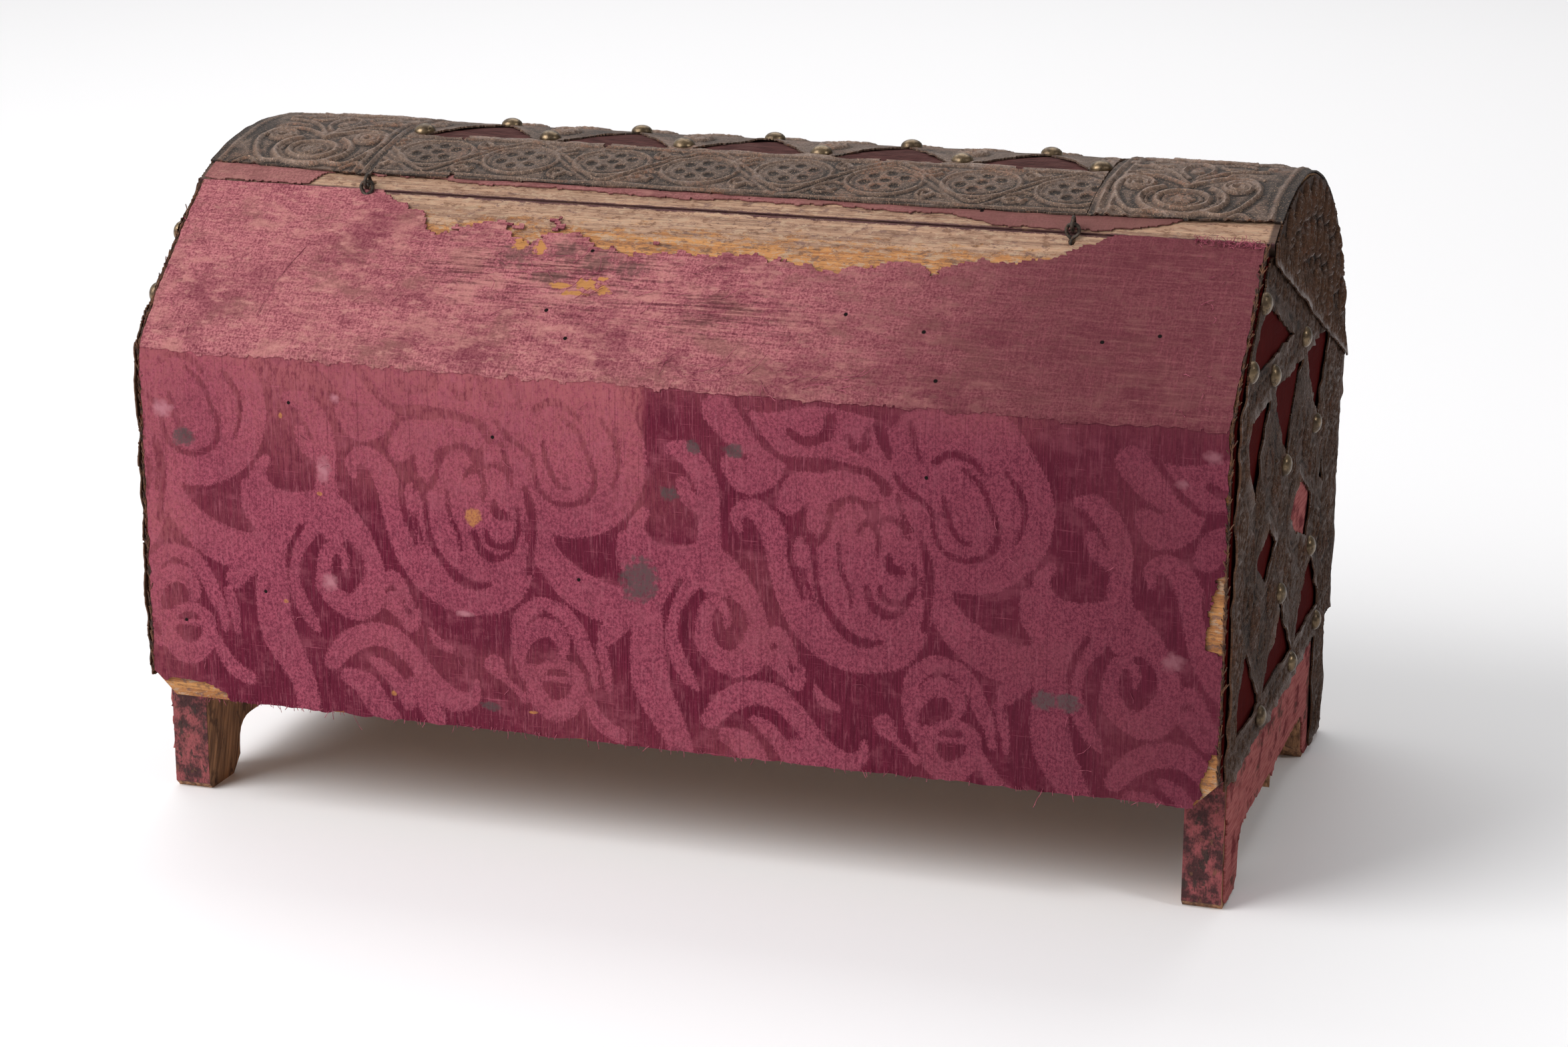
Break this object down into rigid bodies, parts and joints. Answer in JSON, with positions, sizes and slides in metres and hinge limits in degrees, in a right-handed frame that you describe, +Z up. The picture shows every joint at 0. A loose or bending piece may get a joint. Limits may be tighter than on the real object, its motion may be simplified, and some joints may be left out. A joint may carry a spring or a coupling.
{
  "type": "small casket",
  "caption": "Wooden casket with a coved back and a curved lid on wire hinges, covered in cloth and pierced embossed sheet, with a hasp and a sliding lock bolt.",
  "frame": {"origin": "centre of the bounding box's footprint, on the surface that the feet stand on", "axes": "+X along the length, +Y to the back with the hinges, +Z up; the hasp and lock are at -Y"},
  "size_m": [0.407, 0.2382, 0.244],
  "materials": {
    "wood": "bare pale softwood, worn",
    "dark_wood": "old dark wood, worn",
    "damask": "silk damask, crimson",
    "worn_cloth": "threadbare faded silk",
    "velvet": "dark red velvet",
    "embossed": "thin embossed sheet, dull grey-brown",
    "brass": "old brass, tarnished",
    "iron": "dark wrought iron"
  },
  "bodies": {
    "chest": {"end_board_left": "dark_wood", "end_board_right": "dark_wood", "end_velvet_left": "velvet", "end_velvet_right": "velvet", "end_mount_left": "embossed", "end_mount_right": "embossed", "hinge_body_loop_left": "iron", "hinge_body_loop_right": "iron", "back_board": "wood", "back_coving": "wood", "front_board": "wood", "bottom_board": "wood", "back_damask": "damask", "coving_cloth": "worn_cloth", "front_velvet": "velvet", "front_mount": "embossed", "lock_plate": "iron", "lock_guide_1": "iron", "lock_guide_2": "iron", "lock_spring": "iron", "plate_nail_1": "brass", "plate_nail_2": "brass", "plate_nail_3": "brass", "plate_nail_4": "brass"},
    "lid": {"lid_end_left": "dark_wood", "lid_end_right": "dark_wood", "lid_end_mount_left": "embossed", "lid_end_mount_right": "embossed", "lid_band_left": "embossed", "lid_band_right": "embossed", "hinge_lid_loop_left": "iron", "hinge_lid_loop_right": "iron", "lid_stave_1": "wood", "lid_stave_2": "wood", "lid_stave_3": "wood", "lid_stave_4": "wood", "lid_velvet": "velvet", "lid_rear_border": "embossed", "lid_lattice": "embossed", "lid_front_border": "embossed", "lid_nail_1": "brass", "lid_nail_2": "brass", "lid_nail_3": "brass", "lid_nail_4": "brass", "lid_nail_5": "brass", "lid_nail_6": "brass", "lid_nail_7": "brass", "lid_nail_8": "brass", "lid_nail_9": "brass", "lid_nail_10": "brass", "lid_nail_11": "brass", "hasp_mount": "iron", "strap_nail_1": "brass", "strap_nail_2": "brass", "hasp_pin": "iron"},
    "hasp": {"hasp": "iron"},
    "lock_bolt": {"lock_bolt": "iron"}
  },
  "joints": [
    {"name": "lid_swing", "type": "hinge", "parent": "chest", "child": "lid", "pos_m": [0, 0.06399, 0.22978], "axis": [-1, 0, 0], "range_deg": [0, 150]},
    {"name": "hasp_swing", "type": "hinge", "parent": "lid", "child": "hasp", "pos_m": [0, -0.11613, 0.164], "axis": [-1, 0, 0], "range_deg": [0, 140]},
    {"name": "bolt_slide", "type": "slide", "parent": "chest", "child": "lock_bolt", "axis": [1, 0, 0], "range_m": [0, 0.008]}
  ]
}
